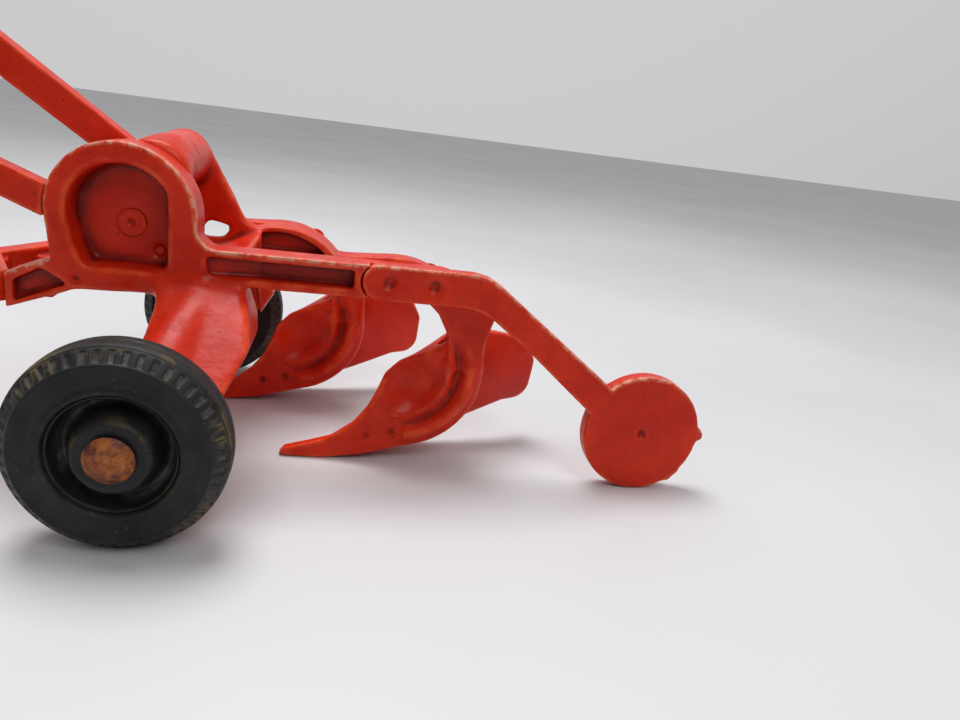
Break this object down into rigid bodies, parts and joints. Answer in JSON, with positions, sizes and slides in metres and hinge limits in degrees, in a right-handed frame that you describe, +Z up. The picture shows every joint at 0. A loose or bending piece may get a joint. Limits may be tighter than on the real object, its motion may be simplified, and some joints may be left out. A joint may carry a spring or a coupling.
{
  "type": "toy trailer plow",
  "caption": "Die-cast toy moldboard plow on rubber-tyred wheels, with splayed legs, lift housing, levers, a dummy rear furrow wheel and a drawbar hitch eye.",
  "frame": {"origin": "bottom centre of the model's box: on the ground, midway between the hitch eye's front and the rear of the dummy wheel, and midway between the two carrying wheels", "axes": "+X to the rear, along the line of travel; +Y to the furrow side; +Z up"},
  "size_m": [0.1752, 0.0952, 0.0886],
  "materials": {
    "red_enamel": "satin",
    "rusty_steel": "matte",
    "black_wheel": "matte",
    "black_tyre": "matte"
  },
  "bodies": {
    "frame": {"land_frame": "red_enamel", "furrow_frame": "red_enamel", "frame_studs": "red_enamel", "land_lever": "red_enamel", "furrow_lever": "red_enamel", "hitch_yoke": "red_enamel", "yoke_rivets": "red_enamel", "tail_arm": "red_enamel", "tail_rivets": "red_enamel", "rear_bottom": "red_enamel", "front_bottom": "red_enamel", "front_rivets": "red_enamel", "land_pin": "rusty_steel", "furrow_pin": "rusty_steel"},
    "land_wheel_body": {"land_wheel": "black_wheel", "land_tyre": "black_tyre"},
    "furrow_wheel_body": {"furrow_wheel": "black_wheel", "furrow_tyre": "black_tyre"}
  },
  "joints": [
    {"name": "land_wheel_turn", "type": "hinge", "parent": "frame", "child": "land_wheel_body", "pos_m": [-0.0166, -0.04, 0.016], "axis": [0, 1, 0], "continuous": true},
    {"name": "furrow_wheel_turn", "type": "hinge", "parent": "frame", "child": "furrow_wheel_body", "pos_m": [-0.0166, 0.04, 0.016], "axis": [0, 1, 0], "continuous": true}
  ]
}
